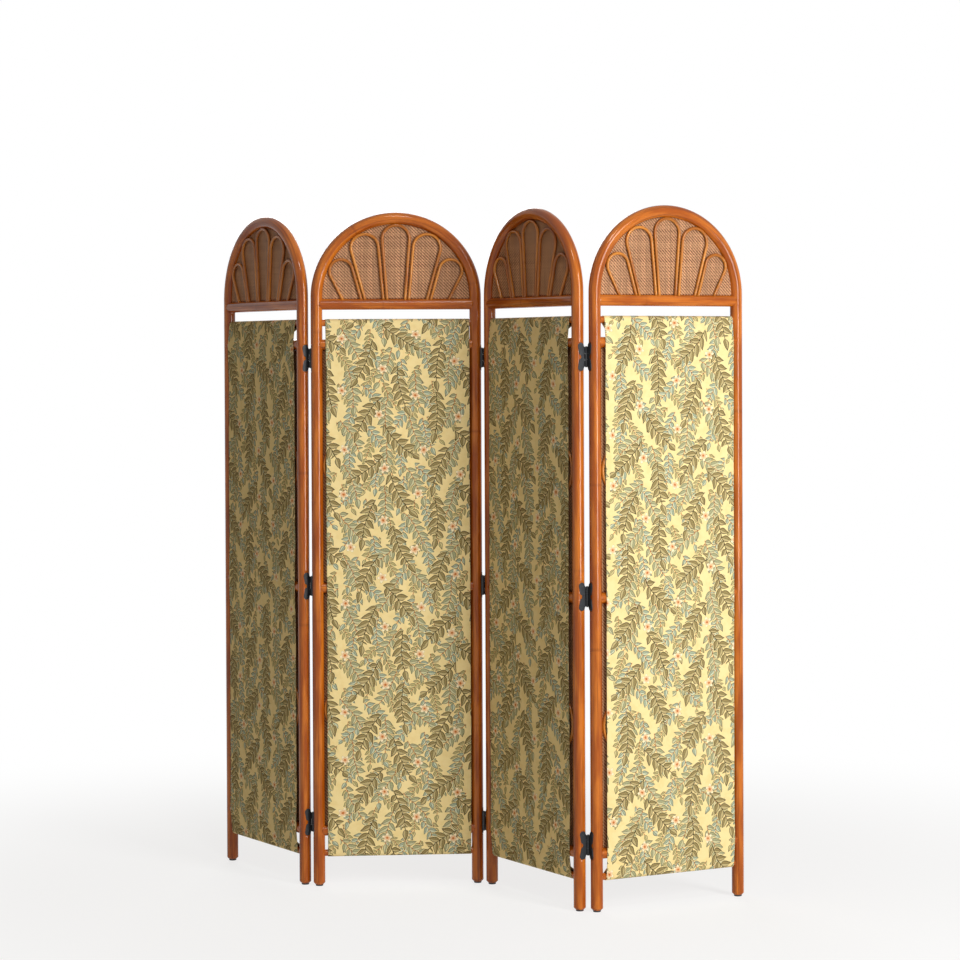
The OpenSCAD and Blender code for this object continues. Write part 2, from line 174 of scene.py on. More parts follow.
def split(tree, vector):
    node = tree.nodes.new("ShaderNodeSeparateXYZ")
    tree.links.new(vector.out, node.inputs[0])
    return [Value(tree, o) for o in node.outputs]


def join(tree, x, y, z):
    node = tree.nodes.new("ShaderNodeCombineXYZ")
    for k, v in enumerate((x, y, z)):
        plug(tree, node.inputs[k], v)
    return Value(tree, node.outputs[0])


def scaled(tree, vector, scale):
    node = tree.nodes.new("ShaderNodeVectorMath")
    node.operation = "MULTIPLY"
    tree.links.new(vector.out, node.inputs[0])
    node.inputs[1].default_value = scale
    return Value(tree, node.outputs[0])


def noise(tree, vector, scale=1.0, detail=3.0, rough=0.55):
    node = tree.nodes.new("ShaderNodeTexNoise")
    tree.links.new(vector.out, node.inputs["Vector"])
    node.inputs["Scale"].default_value = scale
    node.inputs["Detail"].default_value = detail
    node.inputs["Roughness"].default_value = rough
    return Value(tree, node.outputs["Fac"])


def random_of(tree, x, y):
    """Two random values from 0 to 1 that are the same wherever x and y are."""
    node = tree.nodes.new("ShaderNodeTexWhiteNoise")
    node.noise_dimensions = "3D"
    tree.links.new(join(tree, x, y, 0.37).out, node.inputs["Vector"])
    return split(tree, Value(tree, node.outputs["Color"]))[:2]


def attribute(tree, name, kind="Vector"):
    node = tree.nodes.new("ShaderNodeAttribute")
    node.attribute_name = name
    return Value(tree, node.outputs[kind])


def object_place(tree):
    return Value(tree, tree.nodes.new("ShaderNodeTexCoord").outputs["Object"])


def bump(tree, height, strength, distance, before=None):
    node = tree.nodes.new("ShaderNodeBump")
    node.inputs["Strength"].default_value = strength
    node.inputs["Distance"].default_value = distance
    tree.links.new(height.out, node.inputs["Height"])
    if before is not None:
        tree.links.new(before.out, node.inputs["Normal"])
    return Value(tree, node.outputs["Normal"])


def new_material(name, colour, **settings):
    """A material with one Principled shader, whose plain settings are set on its own sockets."""
    mat = bpy.data.materials.new(name)
    mat.use_nodes = True
    tree = mat.node_tree
    shader = tree.nodes["Principled BSDF"]
    shader.inputs["Base Color"].default_value = (*colour, 1.0)
    for key, value in settings.items():
        shader.inputs[key.replace("_", " ")].default_value = value
    return mat, tree, shader


# Colours of the materials
CANE_PLAIN = (0.25, 0.14, 0.085)
CANE_LIGHT = (0.84, 0.46, 0.24)
CANE_DARK = (0.11, 0.034, 0.012)
CANE_STAIN = (0.25, 0.13, 0.07)
# painted shade for the gaps between the cane's strands
CANE_PAINTED_SHADE = (0.05, 0.022, 0.012)
GROUND = (0.87, 0.713, 0.352)
GROUND_DARK = (0.83, 0.66, 0.30)
OLIVE = (0.28, 0.215, 0.085)
OLIVE_LIGHT = (0.56, 0.46, 0.225)
STRAW = (0.46, 0.40, 0.17)
STRAW_LIGHT = (0.68, 0.58, 0.29)
GREEN = (0.33, 0.40, 0.29)
GREEN_LIGHT = (0.62, 0.66, 0.47)
GREY_GREEN = (0.35, 0.36, 0.20)
GREY_GREEN_LIGHT = (0.64, 0.61, 0.37)
RUST = (0.56, 0.17, 0.04)
INK = (0.09, 0.062, 0.025)
PETAL = (0.92, 0.83, 0.58)
PETAL_HEART = (0.80, 0.50, 0.26)
PETAL_RIM = (0.33, 0.2, 0.08)
SLUB = (0.5, 0.4, 0.2)
DUST = (0.22, 0.2, 0.17)

# Stained rattan: light, middle and dark tone, roughness, varnish
STAINS = {
    "rattan_pole": ((0.605, 0.172, 0.016), (0.385, 0.083, 0.005), (0.11, 0.016, 0.002), 0.34, 0.95),
    "rattan_rung": ((0.60, 0.168, 0.018), (0.37, 0.080, 0.005), (0.10, 0.016, 0.002), 0.34, 1.0),
    "rattan_rod": ((0.62, 0.235, 0.034), (0.41, 0.125, 0.014), (0.11, 0.024, 0.004), 0.36, 1.0),
    "rattan_bead": ((0.48, 0.19, 0.055), (0.36, 0.125, 0.035), (0.16, 0.05, 0.016), 0.42, 0.25),
}

# Black painted metal: paint, worn tone, roughness, scale of the wear
PAINTS = {
    "hinge_black": ((0.018, 0.020, 0.023), (0.10, 0.11, 0.13), 0.42, 90.0),
    "pin_steel": ((0.022, 0.023, 0.026), (0.16, 0.16, 0.17), 0.36, 160.0),
    "screw_steel": ((0.03, 0.031, 0.034), (0.2, 0.2, 0.2), 0.34, 220.0),
}

GLIDE_COLOUR = (0.02, 0.019, 0.018)

# Layers of sprigs on the cloth, from the lowest to the front one, in mm: size of a tile and its shift, seed
# of the layer, length of a stem, space from leaf to leaf, length and half width of a leaf, lean of the leaves,
# most turn and bow of a stem, the two tones of a leaf, the stem's colour, and the width of a leaf's dark rim
Sprig = namedtuple("Sprig", "tile shift seed stem pitch leaf lean turn bow dark light stem_colour rim")
SPRIGS = (
    Sprig((58.0, 90.0), (11.0, 60.0), 23.0, 70.0, 14.5, (25.0, 6.2), 0.80, 0.8, -0.14,
          STRAW, STRAW_LIGHT, RUST, 1.0),
    Sprig((68.0, 104.0), (20.0, 33.0), 5.0, 84.0, 16.5, (28.0, 6.8), 0.84, 0.9, 0.16,
          GREEN, GREEN_LIGHT, RUST, 1.0),
    Sprig((84.0, 122.0), (47.0, 5.0), 17.0, 98.0, 19.0, (32.0, 7.8), 0.90, 1.0, -0.18,
          GREY_GREEN, GREY_GREEN_LIGHT, RUST, 1.0),
    Sprig((96.0, 140.0), (0.0, 71.0), 11.0, 110.0, 22.0, (37.0, 8.8), 0.88, 1.0, 0.20,
          OLIVE, OLIVE_LIGHT, INK, 1.5),
)
END_LEAF = (0.85, 0.9)      # length and width of the leaf at a stem's end, as shares of the others'
BLOSSOM_TILE = (96.0, 140.0)
BLOSSOM_SHIFT = (48.0, 1.0)
BLOSSOM_SEED = 31.0
BLOSSOM_SPREAD = 26.0
STRAND = 0.0021             # width of a strand of the cane, in metres


def rattan(name, light, middle, dark, roughness, varnish):
    """Stained and varnished rattan: long fibres, slow changes of stain and dark lines at the nodes."""
    mat, tree, shader = new_material(name, middle, Coat_Weight=varnish, Coat_Roughness=0.10, Coat_IOR=1.36,
                                     Specular_IOR_Level=0.0)
    grain = attribute(tree, "grain")
    fibres = noise(tree, scaled(tree, grain, (900.0, 900.0, 9.0)), detail=4.0, rough=0.6)
    streaks = noise(tree, scaled(tree, grain, (210.0, 210.0, 2.6)), detail=2.0)
    stain = noise(tree, scaled(tree, grain, (55.0, 55.0, 7.0)), detail=2.0)
    pores = noise(tree, scaled(tree, grain, (2600.0, 2600.0, 60.0)), detail=1.0)
    ring = attribute(tree, "ring", "Fac")
    tone = mix(tree, stain.ramp(0.36, 0.66), middle, light)
    tone = mix(tree, streaks.ramp(0.48, 0.78) * 0.6, tone, dark)
    tone = mix(tree, fibres.ramp(0.56, 0.74) * 0.5, tone, dark)
    tone = mix(tree, pores.ramp(0.66, 0.74) * 0.4, tone, dark)
    tone = mix(tree, ring * 0.35, tone, dark)
    tree.links.new(tone.out, shader.inputs["Base Color"])
    tree.links.new((fibres * 0.12 + (roughness - 0.06)).out, shader.inputs["Roughness"])
    height = fibres * 0.6 + streaks * 0.4 - ring * 0.8
    tree.links.new(bump(tree, height, 0.35, 0.0004).out, shader.inputs["Normal"])
    return mat


def woven_cane(name):
    """Close twill of fine strands: each has its own tone and passes over two and under two, with painted shade
    in the gaps.
    """
    mat, tree, shader = new_material(name, CANE_PLAIN, Roughness=0.42, Specular_IOR_Level=0.18)
    place = attribute(tree, "weave")
    uv = split(tree, place)
    a = uv[0] / STRAND
    b = uv[1] / STRAND
    i, j = a.floor(), b.floor()
    fa, fb = a - i, b - j
    step = (i + j).wrap(4.0)
    over = step.below(1.5)
    along = (over * (step + fb) + (1.0 - over) * (step - 2.0 + fa)) * 0.5
    across = over * fa + (1.0 - over) * fb
    side = (across - 0.5).abs() * 2.0
    round_top = (1.0 - side * side).high(0.0).sqrt()
    rise = (along * math.pi).sin().high(0.0)
    height = round_top * (0.45 + 0.55 * rise)
    warp_tone = random_of(tree, i, 3.0)[0]
    weft_tone = random_of(tree, j, 7.0)[0]
    strand = over * (warp_tone * 0.45 + 0.55) + (1.0 - over) * weft_tone * 0.45
    slow = noise(tree, scaled(tree, place, (62.0, 9.0, 1.0)), detail=2.0)
    colour = mix(tree, strand, CANE_DARK, CANE_LIGHT)
    colour = mix(tree, slow.ramp(0.35, 0.7) * 0.4, colour, CANE_STAIN)
    # painted shade: darker where a strand's round top falls away into the gaps between strands
    colour = mix(tree, height.ramp(0.12, 0.55, 0.85, 0.0), colour, CANE_PAINTED_SHADE)
    tree.links.new(colour.out, shader.inputs["Base Color"])
    tree.links.new(bump(tree, height, 0.7, 0.0008).out, shader.inputs["Normal"])
    return mat


def leaf_shape(a, b, length, width):
    """How far inside a broad pointed leaf a point is, in mm, from its base at a 0 along a."""
    t = (a / length).high(0.0).low(1.0)
    half = (t.power(0.72) * math.pi).sin() * width * (1.12 - t * 0.3)
    inside = half - b.abs()
    return inside.low(a).low(length - a)


def tile_of(u, v, tile, shift):
    """The column and row of a half-drop layout that a point is in, and its place from the tile's middle."""
    uu = u + shift[0]
    column = (uu / tile[0]).floor()
    vv = v + shift[1] + column.wrap(2.0) * (tile[1] / 2)
    row = (vv / tile[1]).floor()
    return column, row, uu - (column + 0.5) * tile[0], vv - (row + 0.5) * tile[1]


def sprig_layer(tree, u, v, sprig):
    """Sprigs of leaves in a half-drop layout. Returns how far inside a leaf the point is, its place across
    and along the leaf, and how far inside a stem it is, in mm."""
    leaf_l, leaf_w = sprig.leaf
    end_l, end_w = leaf_l * END_LEAF[0], leaf_w * END_LEAF[1]
    column, row, x, y = tile_of(u, v, sprig.tile, sprig.shift)
    chance, size = random_of(tree, column + sprig.seed, row)
    # each sprig is turned by chance and against its neighbour columns, and some are mirrored
    angle = (chance - 0.5) * sprig.turn + (column.wrap(2.0) - 0.5) * sprig.turn
    c, s = angle.cos(), angle.sin()
    across_stem = (x * c + y * s) * (size - 0.5).sign()
    along_stem = y * c - x * s
    bent = across_stem - along_stem * along_stem * (sprig.bow / sprig.stem)
    up = along_stem + (sprig.stem + end_l) / 2
    # the leaves stand in two rows beside the stem, one row half a step above the other
    shifted = up - (bent.sign() * 0.25 + 0.25) * sprig.pitch
    index = (shifted / sprig.pitch).floor()
    there = shifted.above(0.0) * up.below(sprig.stem - sprig.pitch * 0.25)
    off = bent.abs()
    rise = shifted - index * sprig.pitch - sprig.pitch * 0.12
    grow = 1.0 - (index * sprig.pitch / sprig.stem - 0.45).abs() * 0.55
    ca, sa = math.cos(sprig.lean), math.sin(sprig.lean)
    a = off * sa + rise * ca
    b = rise * sa - off * ca
    length = grow * leaf_l
    b = b - a * (length - a) * (0.16 / leaf_l)
    inside = leaf_shape(a, b, length, grow * leaf_w)
    inside = inside * there - (1.0 - there) * 3.0
    end = leaf_shape(up - sprig.stem, bent, end_l, end_w)
    is_end = end.above(0.0)
    across = is_end * bent + (1.0 - is_end) * b
    along = is_end * (up - sprig.stem) + (1.0 - is_end) * a
    stem = (1.1 - off).low(up).low(sprig.stem - up)
    return inside.high(end), across, along, stem


def paint_layer(tree, ground, layer, sprig):
    """Draws a layer of sprigs on the colour below it: leaves with veins, a dark rim and a pale gap around."""
    inside, across, along, stem = layer
    colour = mix(tree, inside.ramp(-1.6, -1.1), ground, GROUND)
    colour = mix(tree, stem.ramp(-0.15, 0.25), colour, sprig.stem_colour)
    light_half = across.ramp(-0.5, 0.5)
    ribs = ((along - across.abs() * 0.8) * 1.25).sin().ramp(0.45, 0.95)
    midrib = (0.6 - across.abs()).ramp(-0.15, 0.35)
    rim_colour = tuple(0.12 * d + 0.4 * k for d, k in zip(sprig.dark, INK))
    face = mix(tree, light_half * 0.75 + ribs * 0.3, sprig.dark, sprig.light)
    face = mix(tree, midrib * 0.8, face, INK)
    face = mix(tree, inside.ramp(sprig.rim, sprig.rim + 0.7), rim_colour, face)
    return mix(tree, inside.ramp(-0.1, 0.25), colour, face)


def blossoms(tree, ground, u, v):
    """Draws five-petal blossoms in a half-drop layout."""
    column, row, x, y = tile_of(u, v, BLOSSOM_TILE, BLOSSOM_SHIFT)
    chance, other = random_of(tree, column + BLOSSOM_SEED, row)
    x = x + (chance - 0.5) * BLOSSOM_SPREAD
    y = y + (other - 0.5) * BLOSSOM_SPREAD
    r = (x * x + y * y).sqrt()
    petal = (y.angle(x) * 5.0 + chance * 6.0).cos()
    inside = petal * 3.2 + 11.0 - r
    ray = (petal - 0.9).ramp(0.0, 0.1) * r.ramp(3.5, 10.0, 1.0, 0.0)
    face = mix(tree, r.ramp(3.0, 12.0), PETAL_HEART, PETAL)
    face = mix(tree, ray, face, RUST)
    face = mix(tree, r.ramp(2.6, 3.1, 1.0, 0.0), face, RUST)
    face = mix(tree, inside.ramp(0.3, 0.8), PETAL_RIM, face)
    return mix(tree, inside.ramp(-0.1, 0.2), ground, face)


def printed_cloth(name):
    """Cotton with a print of sprigs and blossoms in a half-drop layout."""
    mat, tree, shader = new_material(name, GROUND, Roughness=0.85, Specular_IOR_Level=0.05, Sheen_Weight=0.04,
                                     Sheen_Roughness=0.5)
    place = attribute(tree, "cloth")
    wobble = noise(tree, place, 62.0, 2.0)
    sway = noise(tree, place, 23.0, 1.0)
    flat = split(tree, place)
    u = flat[0] * 1000.0 + (wobble - 0.5) * 3.0 + (sway - 0.5) * 8.0
    v = flat[1] * 1000.0 + (wobble - 0.5) * 3.0 - (sway - 0.5) * 8.0
    colour = mix(tree, noise(tree, place, 40.0).ramp(0.4, 0.7), GROUND, GROUND_DARK)
    for sprig in SPRIGS:
        colour = paint_layer(tree, colour, sprig_layer(tree, u, v, sprig), sprig)
    colour = blossoms(tree, colour, u, v)
    threads = (u * 9.0).sin() * 0.5 + (v * 9.0).sin() * 0.5
    slub = noise(tree, scaled(tree, place, (500.0, 2400.0, 1.0)), detail=2.0)
    colour = mix(tree, slub.ramp(0.55, 0.8) * 0.12, colour, SLUB)
    tree.links.new(colour.out, shader.inputs["Base Color"])
    rough = noise(tree, place, 300.0)
    weave = bump(tree, threads + slub, 0.25, 0.0001)
    tree.links.new(bump(tree, rough, 0.15, 0.0006, weave).out, shader.inputs["Normal"])
    return mat


def black_paint(name, colour, worn, roughness, wear_scale):
    """Black painted metal with faint brush grain and rubbed patches."""
    mat, tree, shader = new_material(name, colour, Metallic=0.35, Specular_IOR_Level=0.55)
    place = object_place(tree)
    patch = noise(tree, place, wear_scale, 4.0, 0.65)
    fine = noise(tree, scaled(tree, place, (1.0, 1.0, 4.0)), 700.0, 2.0)
    tone = mix(tree, patch.ramp(0.6, 0.72) * 0.45, colour, worn)
    tone = mix(tree, fine.ramp(0.5, 0.8) * 0.3, tone, worn)
    tree.links.new(tone.out, shader.inputs["Base Color"])
    tree.links.new((patch * 0.25 + (roughness - 0.12)).out, shader.inputs["Roughness"])
    tree.links.new(bump(tree, fine + patch * 0.5, 0.3, 0.0001).out, shader.inputs["Normal"])
    return mat


def plastic(name, colour):
    """Moulded plastic with a fine grain and dusty scuffs near the floor."""
    mat, tree, shader = new_material(name, colour, Roughness=0.55)
    place = object_place(tree)
    fine = noise(tree, place, 1600.0, 2.0)
    low = split(tree, place)[2].ramp(0.0, 0.003, 1.0, 0.0)
    dusty = low * noise(tree, place, 260.0).ramp(0.4, 0.7)
    tree.links.new(mix(tree, dusty * 0.5, colour, DUST).out, shader.inputs["Base Color"])
    tree.links.new(bump(tree, fine, 0.25, 0.0002).out, shader.inputs["Normal"])
    return mat


# Materials by the slot that they belong to
MATERIALS = {slot: rattan(slot, *stain) for slot, stain in STAINS.items()}
MATERIALS["woven_cane"] = woven_cane("woven_cane")
MATERIALS["printed_cloth"] = printed_cloth("printed_cloth")
MATERIALS.update({slot: black_paint(slot, *paint) for slot, paint in PAINTS.items()})
MATERIALS["glide_plastic"] = plastic("glide_plastic", GLIDE_COLOUR)


# Meshes
def panel_place(i):
    """Where panel i's own frame stands in the model, from the record's places of its two feet."""
    feet = {m["name"]: Vector(m["pos_m"]) for m in frame["record"]["mounts"]}
    left, right = feet[f"foot_{i}_left"], feet[f"foot_{i}_right"]
    along = (right - left).normalized()
    back = Vector((-along.y, along.x, 0))
    place = Matrix((along, back, Vector((0, 0, 1)))).transposed().to_4x4()
    place.translation = left
    return place


def add_piece(name, points, faces, i, slot, stands_for, fields):
    """Makes a mesh in panel i's frame and lets it ride with that panel, in place of the node it stands for.
    fields are named vectors or numbers at the points, which the materials read."""
    mesh = bpy.data.meshes.new(name)
    place = np.array(panel_place(i))
    mesh.from_pydata((np.asarray(points) @ place[:3, :3].T + place[:3, 3]).tolist(), [], faces)
    for key, values in fields:
        values = np.asarray(values, np.float32)
        kind, prop = ("FLOAT_VECTOR", "vector") if values.ndim == 2 else ("FLOAT", "value")
        mesh.attributes.new(key, kind, "POINT").data.foreach_set(prop, values.ravel())
    mesh.polygons.foreach_set("use_smooth", [True] * len(mesh.polygons))
    mesh.materials.append(MATERIALS[slot])
    mesh.validate()
    piece = bpy.data.objects.new(name, mesh)
    bpy.context.scene.collection.objects.link(piece)
    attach(piece, f"panel_{i}")
    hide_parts(stands_for)
    return piece


def stack(parts):
    """Several meshes as one. Each part is its points, its faces and its fields."""
    faces, base = [], 0
    for points, part_faces, *_ in parts:
        faces += [[base + q for q in face] for face in part_faces]
        base += len(points)
    points, _, *fields = zip(*parts)
    return np.concatenate(points), faces, *(np.concatenate(field) for field in fields)


def add_tubes(name, tubes, i, slot, stands_for):
    """Makes one rattan piece of several tubes."""
    points, faces, grain, ring = stack(tubes)
    add_piece(name, points, faces, i, slot, stands_for, [("grain", grain), ("ring", ring)])


# A node of the rattan: its swell as a share of the radius, and how far the swell and its groove reach
NODE_RISE = 0.010
NODE_HALF = 0.006
NODE_LINE = 0.0016


def tube(path, depth, radius, sides, start, rings, closed=False, reshape=None):
    """A round rod along a path in an upright plane of the panel, at a depth. start moves its grain on, so no
    two rods look alike. rings are the places along it that have a node, a faint swell with a groove in it.
    Returns points, faces and the fields of the rattan materials."""
    path = np.asarray(path, float)
    n = len(path)
    if closed:
        way = np.roll(path, -1, 0) - np.roll(path, 1, 0)
        steps = np.linalg.norm(path - np.roll(path, 1, 0), axis=1)
        steps[0] = 0
    else:
        way = np.gradient(path, axis=0)
        steps = np.r_[0, np.linalg.norm(np.diff(path, axis=0), axis=1)]
    way /= np.linalg.norm(way, axis=1)[:, None]
    out = np.stack([-way[:, 1], way[:, 0]], 1)
    s = np.cumsum(steps)
    radius = np.broadcast_to(np.asarray(radius, float), (n,)).copy()
    ring = np.zeros(n)
    for place in rings:
        swell = np.exp(-((s - place) / NODE_HALF) ** 2)
        groove = np.exp(-((s - place) / NODE_LINE) ** 2)
        radius += NODE_RISE * radius * (swell - groove)
        ring = np.maximum(ring, groove)
    turn = np.arange(sides) * 2 * math.pi / sides
    off_out = radius[:, None] * np.cos(turn)[None]
    off_y = radius[:, None] * np.sin(turn)[None]
    if reshape is not None:
        off_out = reshape(path, off_out)
    points = np.stack([
        path[:, :1] + out[:, :1] * off_out,
        depth + off_y,
        path[:, 1:] + out[:, 1:] * off_out], -1).reshape(-1, 3)
    grain = np.stack([off_out, off_y, np.repeat(s[:, None] + start, sides, 1)], -1).reshape(-1, 3)
    k, m = np.meshgrid(np.arange(n if closed else n - 1), np.arange(sides), indexing="ij")
    k, m = k.ravel(), m.ravel()
    k2, m2 = (k + 1) % n, (m + 1) % sides
    faces = np.stack([k * sides + m, k * sides + m2, k2 * sides + m2, k2 * sides + m], 1).tolist()
    if not closed:
        faces.append(list(range(sides))[::-1])
        faces.append([(n - 1) * sides + q for q in range(sides)])
    return points, faces, grain, np.repeat(ring, sides)


def arc(centre, radius, start, end, count):
    a = np.linspace(start, end, count)
    return np.stack([centre[0] + radius * np.cos(a), centre[1] + radius * np.sin(a)], 1)


def line(a, b, step):
    count = max(2, int(round(math.dist(a, b) / step)) + 1)
    return np.linspace(a, b, count)


def chain(*parts):
    """Joins paths that meet, keeping each shared point once."""
    return np.concatenate([parts[0]] + [part[1:] for part in parts[1:]])


def node_places(length, lowest, highest, keep_off=()):
    """Uneven places of the rattan's nodes along a length, away from the given stretches."""
    places, s = [], rng.uniform(0.25, 1.0) * lowest
    while s < length:
        if all(abs(s - c) > half for c, half in keep_off):
            places.append(s)
        s += rng.uniform(lowest, highest)
    return places


def pole_frame(i):
    """The bent pole of stiles and arch, with flats under the hinge leaves."""
    edge = 0.0006
    foot = [GLIDE_H, GLIDE_H + 0.0011, GLIDE_H + FOOT_BEVEL, GLIDE_H + FOOT_BEVEL + 0.0012]
    seats = [z + s * (SEAT_HALF + e) for z in HINGE_ZS for s in (-1, 1) for e in (0.0, edge)]
    heights = foot + list(np.arange(0.012, SPRING_Z, POLE_STEP)) + seats
    heights = np.array(sorted(set(round(h, 6) for h in heights)) + [SPRING_Z])
    bend = arc((ARCH_R, SPRING_Z), ARCH_R, math.pi, 0, 121)
    path = chain(np.stack([np.zeros_like(heights), heights], 1), bend,
                 np.stack([np.full_like(heights, PANEL_W), heights], 1)[::-1])
    radius = POLE_R - FOOT_BEVEL + np.minimum(path[:, 1] - GLIDE_H, FOOT_BEVEL)
    length = 2 * (SPRING_Z - GLIDE_H) + math.pi * ARCH_R
    hinge_spots = [(s, SEAT_HALF + 0.012) for z in HINGE_ZS for s in (z - GLIDE_H, length - z + GLIDE_H)]
    rings = node_places(length, 0.30, 0.47, hinge_spots)
    hinged = [x for x, has in ((0.0, i > PANELS[0]), (PANEL_W, i < PANELS[-1])) if has]

    def flats(points, off_out):
        """Cuts the pole flat on its outer side, at each hinge."""
        off_out = off_out.copy()
        near = np.zeros(len(points), bool)
        for z in HINGE_ZS:
            near |= np.abs(points[:, 1] - z) <= SEAT_HALF + 1e-6
        for x in hinged:
            rows = near & (np.abs(points[:, 0] - x) < 1e-6) & (points[:, 1] < SPRING_Z)
            off_out[rows] = np.minimum(off_out[rows], SEAT_X)
        return off_out

    pole = tube(path, 0.0, radius, POLE_SIDES, i * 7.3, rings, reshape=flats)
    add_tubes(f"bent_pole_{i}", [pole], i, "rattan_pole", f"pole_frame_{i}")


def rung_tube(z, radius, start):
    path = line((RUNG_INSET, z), (PANEL_W - RUNG_INSET, z), RUNG_STEP)
    rings = node_places(PANEL_W, 0.22, 0.4, [(0.0, 0.03), (PANEL_W, 0.03)])
    return tube(path, 0.0, radius, RUNG_SIDES, start, rings)


def rungs(i):
    """Rail and rungs, each a separate length of rattan."""
    for name, zs, radius, slot in (
            ("top_rail", (RAIL_Z,), RAIL_R, "rattan_pole"),
            ("thick_rungs", THICK_ZS, THICK_R, "rattan_pole"),
            ("thin_rungs", (UPPER_THIN_Z, LOWER_THIN_Z), THIN_R, "rattan_rung")):
        tubes = [rung_tube(z, radius, i * 3.1 + z * 5) for z in zs]
        add_tubes(f"round_{name}_{i}", tubes, i, slot, f"{name}_{i}")


def fan_path(k):
    """Centre line of one loop of the fan: two straight legs and a round head."""
    chord = 2 * math.sin(FAN_STEP / 2)
    head = (ROD_REACH * chord - 2 * ROD_R - LOOP_GAP) / (2 + chord)
    if abs(k) == FAN_REACH:
        head -= OUTER_TRIM
    a = k * FAN_STEP
    out = ROD_REACH - head
    centre = np.array([ARCH_R + out * math.sin(a), SPRING_Z + out * math.cos(a)])
    pitch = (PANEL_W - 2 * POLE_R) / LEG_SPACES
    half = (pitch - 2 * ROD_R - LEG_GAP) / 2
    ends, touches = [], []
    for side in (-1, 1):
        foot = np.array([ARCH_R + k * pitch + side * half, RAIL_Z])
        to = centre - foot
        way = math.atan2(to[1], to[0]) - side * math.asin(head / np.linalg.norm(to))
        touches.append(way - side * math.pi / 2)
        ends.append(foot + (RAIL_R - LOOP_BITE) * np.array([math.cos(way), math.sin(way)]) / math.sin(way))
    bend = arc(centre, head, *touches, 49)
    return chain(line(ends[0], bend[0], ROD_STEP), bend, line(bend[-1], ends[1], ROD_STEP))


def fan(i):
    """The fan of five loops in front of the arch's cane."""
    tubes = []
    for k in range(-FAN_REACH, FAN_REACH + 1):
        path = fan_path(k)
        length = np.linalg.norm(np.diff(path, axis=0), axis=1).sum()
        rings = node_places(length, 0.2, 0.36)
        tubes.append(tube(path, ROD_Y, ROD_R, ROD_SIDES, i * 2.3 + k * 0.9, rings))
    add_tubes(f"round_loops_{i}", tubes, i, "rattan_rod", f"fan_loops_{i}")


def hoops(i):
    """The two oval hoops between the cane and the cloth."""
    end_x = ROD_REACH - HOOP_END_R
    side_r = (end_x ** 2 + HOOP_B ** 2 - HOOP_END_R ** 2) / (2 * (HOOP_B - HOOP_END_R))
    a = math.atan2(side_r - HOOP_B, end_x)
    tubes = []
    for k in (0, 1):
        z = (THICK_ZS[k] + THICK_ZS[k + 1]) / 2
        path = chain(
            arc((ARCH_R + end_x, z), HOOP_END_R, a, -a, 31),
            arc((ARCH_R, z - HOOP_B + side_r), side_r, -a, a - math.pi, 41),
            arc((ARCH_R - end_x, z), HOOP_END_R, a - math.pi, -math.pi - a, 31),
            arc((ARCH_R, z + HOOP_B - side_r), side_r, math.pi - a, a, 41))[:-1]
        rings = node_places(0.9, 0.24, 0.4)
        tubes.append(tube(path, ROD_Y, ROD_R, ROD_SIDES, i + k * 0.7, rings, closed=True))
    add_tubes(f"round_hoops_{i}", tubes, i, "rattan_rod", f"oval_hoops_{i}")


def beads(i):
    """The beads that hold the cane's edges at the back."""
    far_x = PANEL_W - BEAD_TOUCH
    low_z = RAIL_Z + math.sqrt(RAIL_R ** 2 - BEAD_Y ** 2) - BITE
    arch = chain(line((BEAD_TOUCH, low_z), (BEAD_TOUCH, SPRING_Z), BEAD_STEP),
                 arc((ARCH_R, SPRING_Z), ARCH_R - BEAD_TOUCH, math.pi, 0, ARCH_COLUMNS),
                 line((far_x, SPRING_Z), (far_x, low_z), BEAD_STEP))
    tubes = [tube(arch, BEAD_Y, BEAD_R, BEAD_SIDES, i, node_places(0.6, 0.2, 0.3))]
    edge = math.sqrt(THICK_R ** 2 - BEAD_Y ** 2) - BITE
    for k in (0, 1):
        for x in (BEAD_TOUCH, far_x):
            path = line((x, THICK_ZS[k + 1] + edge), (x, THICK_ZS[k] - edge), ROD_STEP)
            rings = node_places(0.6, 0.2, 0.3)
            tubes.append(tube(path, BEAD_Y, BEAD_R, BEAD_SIDES, i + x * 9 + k, rings))
    add_tubes(f"round_beads_{i}", tubes, i, "rattan_bead", f"cane_beads_{i}")


def grid_corners(columns, rows):
    """The first corner of each cell of a grid of points that are numbered column by column."""
    a, b = np.meshgrid(np.arange(columns - 1), np.arange(rows - 1), indexing="ij")
    return (a * rows + b).ravel()


CANE_WAVE = 0.00025         # how far the cane is out of flat
BACK_SHIFT = 0.0031         # how far the weave at the back is off that at the front


def plate(xs, lows, highs, rows, seed):
    """A thin sheet of cane between two edges, a little wavy, with a front, a back and a rim. Its field is the
    place in the weave."""
    n, t = len(xs), np.linspace(0, 1, rows)
    x = np.repeat(xs[:, None], rows, 1)
    z = lows[:, None] + (highs - lows)[:, None] * t[None]
    wave = CANE_WAVE * np.sin(x * 61 + seed) * np.sin(z * 23 + 2 * seed) * np.sin(np.pi * t)[None]
    front = np.stack([x, wave - CANE_HALF, z], -1).reshape(-1, 3)
    back = np.stack([x, wave + CANE_HALF, z], -1).reshape(-1, 3)
    p = grid_corners(n, rows)
    quads = np.stack([p, p + rows, p + rows + 1, p + 1], 1)
    size = n * rows
    rim = ([k * rows for k in range(n)] + [(n - 1) * rows + k for k in range(1, rows)]
           + [k * rows + rows - 1 for k in range(n - 2, -1, -1)] + [k for k in range(rows - 2, 0, -1)])
    faces = quads.tolist() + (quads[:, ::-1] + size).tolist()
    faces += [[w, q, q + size, w + size] for q, w in zip(rim, rim[1:] + rim[:1])]
    flat = np.stack([x, z, np.zeros_like(x)], -1).reshape(-1, 3)
    return np.concatenate([front, back]), faces, np.concatenate([flat, flat + (BACK_SHIFT, 0.0, 0.0)])


